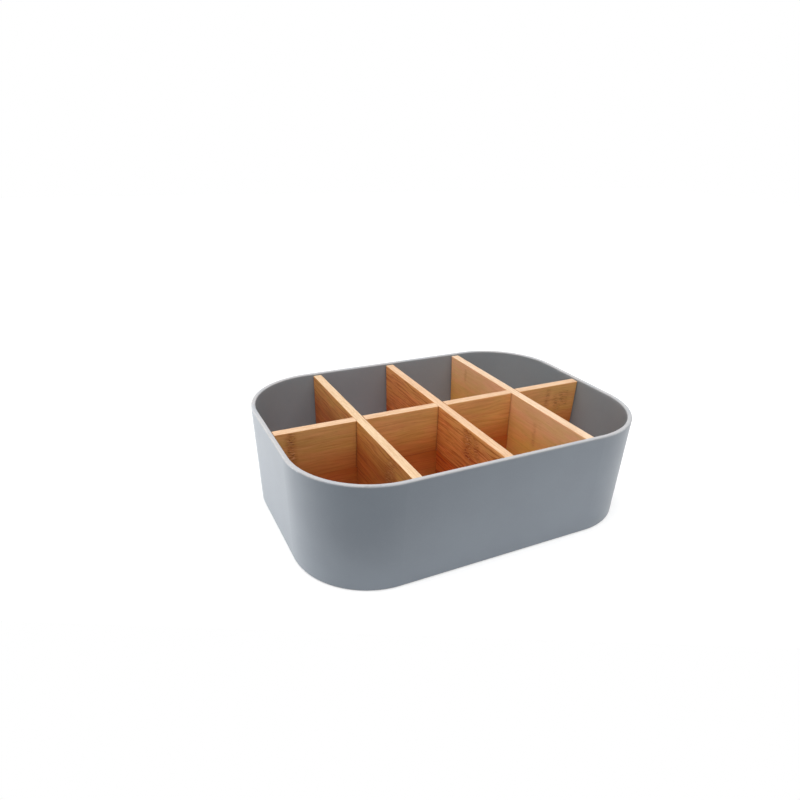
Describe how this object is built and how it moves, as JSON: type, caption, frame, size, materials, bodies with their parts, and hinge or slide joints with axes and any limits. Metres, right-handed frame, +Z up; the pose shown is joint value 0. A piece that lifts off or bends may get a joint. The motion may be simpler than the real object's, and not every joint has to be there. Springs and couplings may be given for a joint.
{
  "type": "vanity organizer",
  "caption": "Open rounded-rectangle moulded tray with a lift-out lattice of half-lapped bamboo boards that divides it into compartments for vanity and desk items.",
  "frame": {"origin": "centre of the tray's footprint, on the plane that its foot ring stands on", "axes": "+X along the tray and its long divider, +Y towards the back, +Z up out of the open mouth"},
  "size_m": [0.2828, 0.2024, 0.084],
  "materials": {
    "tray_plastic": "fine matte, slightly blue grey",
    "bamboo": "sanded, bare, warm honey"
  },
  "bodies": {
    "tray": {"tray": "tray_plastic"},
    "long_divider": {"long_divider": "bamboo"},
    "left_cross_divider": {"left_cross_divider": "bamboo"},
    "middle_cross_divider": {"middle_cross_divider": "bamboo"},
    "right_cross_divider": {"right_cross_divider": "bamboo"}
  },
  "joints": [
    {"name": "lattice_lift", "type": "slide", "parent": "tray", "child": "long_divider", "axis": [0, 0, 1], "range_m": [0, 0.09]},
    {"name": "left_cross_lift", "type": "slide", "parent": "long_divider", "child": "left_cross_divider", "axis": [0, 0, 1], "range_m": [0, 0.09]},
    {"name": "middle_cross_lift", "type": "slide", "parent": "long_divider", "child": "middle_cross_divider", "axis": [0, 0, 1], "range_m": [0, 0.09]},
    {"name": "right_cross_lift", "type": "slide", "parent": "long_divider", "child": "right_cross_divider", "axis": [0, 0, 1], "range_m": [0, 0.09]}
  ]
}
